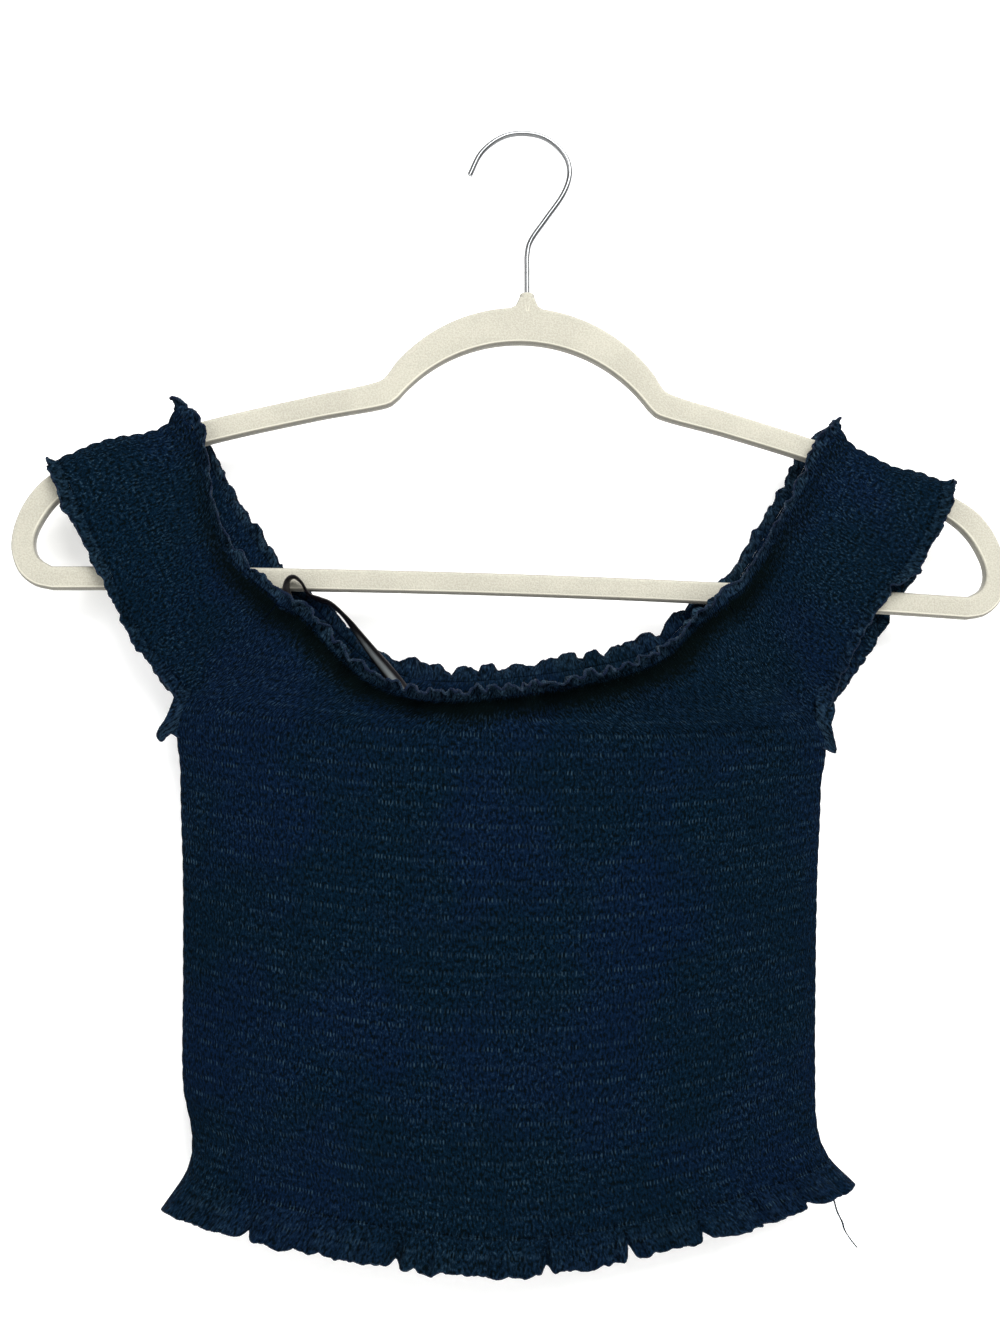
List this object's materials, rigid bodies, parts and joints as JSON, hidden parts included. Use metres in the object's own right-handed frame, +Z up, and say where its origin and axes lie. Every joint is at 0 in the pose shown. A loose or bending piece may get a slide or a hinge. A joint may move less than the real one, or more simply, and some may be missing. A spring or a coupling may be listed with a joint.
{
  "type": "off-shoulder top on a hanger",
  "caption": "Dark navy off-shoulder crop top, shirred all over with ruffled neck, cuffs and hem, on a pale flocked hanger with a wire hook.",
  "frame": {"origin": "the seat inside the hook, the lowest point of the wire's arch that a rail touches", "axes": "+Z up as it hangs, -Y out of the garment's front, +X to the right of a viewer who faces the front"},
  "size_m": [0.449, 0.0357, 0.5082],
  "materials": {
    "cloth": "matte crinkled crepe",
    "ribbon": "satin",
    "flock": "velvet flock",
    "hook": "bright"
  },
  "bodies": {
    "root": {"front_panel": "cloth", "back_panel": "cloth", "sleeve_left": "cloth", "sleeve_right": "cloth", "hanging_loop": "ribbon", "hanger_body": "flock", "hanger_hook": "hook"}
  },
  "joints": []
}
